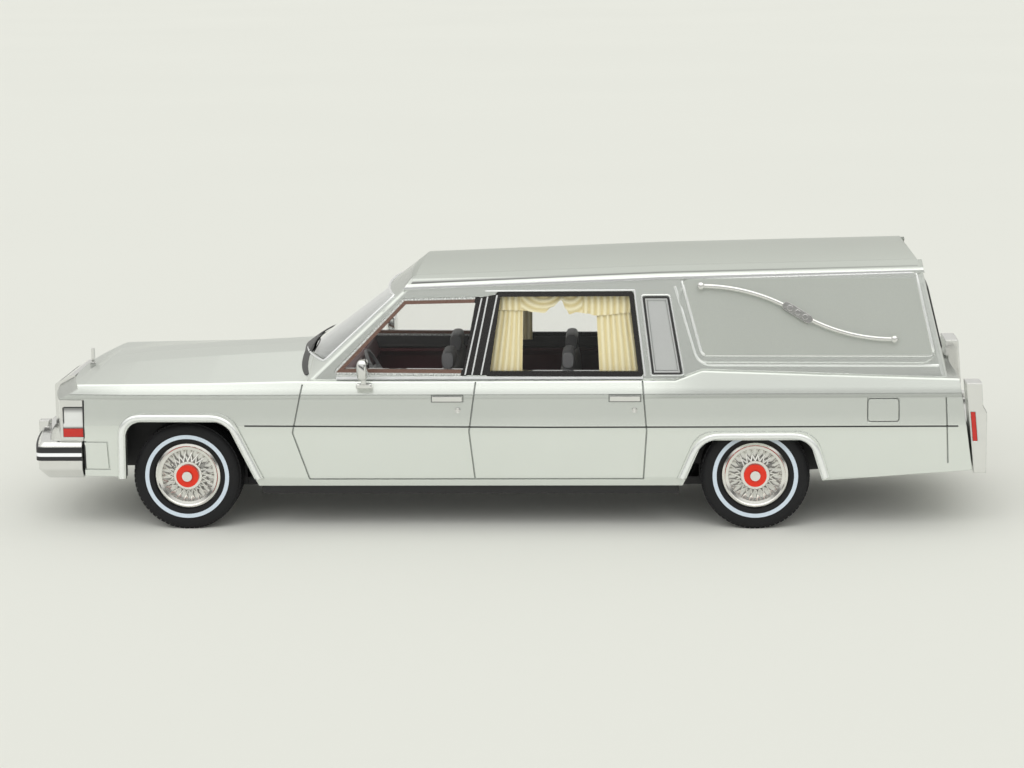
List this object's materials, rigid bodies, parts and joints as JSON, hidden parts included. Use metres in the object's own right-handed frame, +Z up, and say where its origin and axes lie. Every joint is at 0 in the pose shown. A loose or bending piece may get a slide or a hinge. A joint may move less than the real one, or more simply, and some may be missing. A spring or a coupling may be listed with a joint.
{
  "type": "scale model hearse",
  "caption": "Small-scale display model of an early 1980s American hearse in silver, with wire-style wheel covers, whitewall tyres, cream drapes and landau bars.",
  "frame": {"origin": "On the floor under the middle of the model's box. The nose points to -X and the roof to +Z.", "axes": "X along the car from nose to tail, Y across it with the left side at -Y, Z up."},
  "size_m": [0.1452, 0.05, 0.041],
  "materials": {
    "silver_paint": "silver metallic lacquer, smooth gloss",
    "black_plastic": "moulded base plate, fine satin",
    "burgundy_trim": "moulded interior, matt",
    "wood_deck": "moulded load floor, satin",
    "black_trim": "moulded seat, matt",
    "clear_glass": "clear thin glazing",
    "black_frame": "printed frame, gloss",
    "bright_trim": "foil trim",
    "cream_cloth": "moulded pleated drapes, matt",
    "chrome": "vacuum plated, mirror",
    "lamp_glass": "clear lens",
    "red_lens": "tinted lens, gloss",
    "black_rubber": "rub strip, satin",
    "axle_steel": "plain turned wire",
    "tyre_rubber": "soft tyre, matt",
    "orange_red": "enamelled disc, gloss"
  },
  "bodies": {
    "body": {"base_plate": "black_plastic", "belt_mouldings": "bright_trim", "body_shell": "silver_paint", "bonnet_ornament": "chrome", "corner_lenses": "lamp_glass", "dashboard": "burgundy_trim", "door_glass_left": "clear_glass", "door_glass_right": "clear_glass", "door_handles": "chrome", "door_mirror_left": "chrome", "door_mirror_right": "chrome", "drapes_left": "cream_cloth", "drapes_right": "cream_cloth", "front_bumper": "chrome", "front_rub_strip": "black_rubber", "front_seat": "black_trim", "grille": "chrome", "headlamp_bezels": "chrome", "headlamps": "lamp_glass", "interior_tub": "burgundy_trim", "landau_bar_left": "chrome", "landau_bar_right": "chrome", "load_deck": "wood_deck", "opera_frames": "bright_trim", "opera_panels": "silver_paint", "rear_bumper": "chrome", "rear_rub_strip": "black_rubber", "rear_seat": "black_trim", "side_markers": "red_lens", "steering_wheel": "black_trim", "tail_door_glass": "clear_glass", "tail_door_handle": "chrome", "tail_lamp_housings": "chrome", "tail_lamp_lenses": "red_lens", "wheel_wells": "black_plastic", "window_frames_left": "black_frame", "window_frames_right": "black_frame", "windscreen": "clear_glass"},
    "front_axle": {"front_axle": "axle_steel", "front_tyre_left": "tyre_rubber", "front_wheel_cover_left": "chrome", "front_centre_disc_left": "orange_red", "front_tyre_right": "tyre_rubber", "front_wheel_cover_right": "chrome", "front_centre_disc_right": "orange_red"},
    "rear_axle": {"rear_axle": "axle_steel", "rear_tyre_left": "tyre_rubber", "rear_wheel_cover_left": "chrome", "rear_centre_disc_left": "orange_red", "rear_tyre_right": "tyre_rubber", "rear_wheel_cover_right": "chrome", "rear_centre_disc_right": "orange_red"}
  },
  "joints": [
    {"name": "front_axle_roll", "type": "hinge", "parent": "body", "child": "front_axle", "pos_m": [-0.0475, 0, 0.00815], "axis": [0, 1, 0], "continuous": true},
    {"name": "rear_axle_roll", "type": "hinge", "parent": "body", "child": "rear_axle", "pos_m": [0.03786, 0, 0.00815], "axis": [0, 1, 0], "continuous": true}
  ]
}
